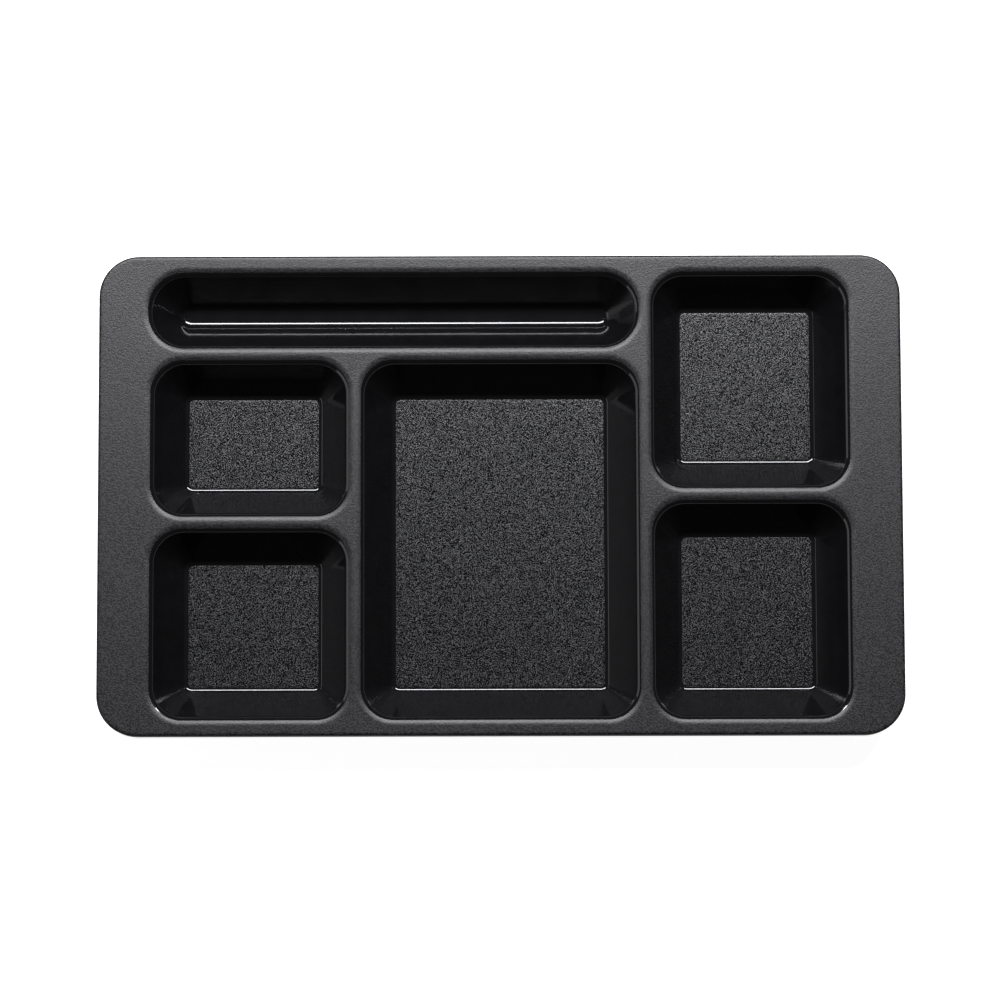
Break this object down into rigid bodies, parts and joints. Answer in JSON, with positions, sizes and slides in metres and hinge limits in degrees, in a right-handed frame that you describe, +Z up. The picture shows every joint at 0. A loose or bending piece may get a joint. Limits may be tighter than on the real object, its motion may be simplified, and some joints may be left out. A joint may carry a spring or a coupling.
{
  "type": "compartment tray",
  "caption": "Flat black plastic meal tray with rectangular food wells, a long cutlery trough along the back and wide side rims to hold it by.",
  "frame": {"origin": "under the middle of the tray's outline, on the plane of the floors that it stands on", "axes": "+X along the long side towards the two equal wells, +Y towards the cutlery trough, +Z up out of the wells"},
  "size_m": [0.381, 0.2286, 0.0222],
  "materials": {
    "matte_deck": "fine matte spark grain, black moulded plastic",
    "gloss_wall": "polished high gloss, black moulded plastic",
    "pebbled_floor": "pebbled glossy grain, black moulded plastic"
  },
  "bodies": {
    "root": {"deck": "matte_deck", "rim_skirt": "matte_deck", "trough_wall": "gloss_wall", "trough_floor": "gloss_wall", "main_well_wall": "gloss_wall", "main_well_floor": "pebbled_floor", "rear_left_wall": "gloss_wall", "rear_left_floor": "pebbled_floor", "front_left_wall": "gloss_wall", "front_left_floor": "pebbled_floor", "rear_right_wall": "gloss_wall", "rear_right_floor": "pebbled_floor", "front_right_wall": "gloss_wall", "front_right_floor": "pebbled_floor"}
  },
  "joints": []
}
